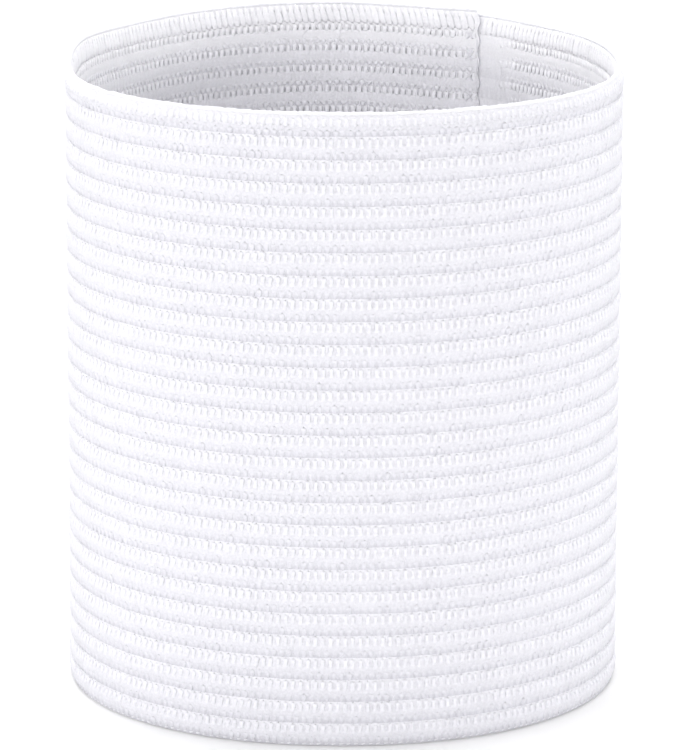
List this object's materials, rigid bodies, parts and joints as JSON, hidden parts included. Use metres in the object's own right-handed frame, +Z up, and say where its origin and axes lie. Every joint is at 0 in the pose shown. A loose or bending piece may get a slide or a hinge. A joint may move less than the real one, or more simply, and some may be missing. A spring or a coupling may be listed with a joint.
{
  "type": "armband",
  "caption": "Upright open tube of white ribbed elastic webbing, worn round the upper arm, with a lapped seam.",
  "frame": {"origin": "middle of the tube's foot, on the surface that it stands on", "axes": "+Z up along the tube's axis, -Y towards the flattened front, +X to the right seen from the front"},
  "size_m": [0.0714, 0.0758, 0.081],
  "materials": {
    "white_webbing": "matt ribbed weave, slightly cool white"
  },
  "bodies": {
    "root": {"elastic_band": "white_webbing"}
  },
  "joints": []
}
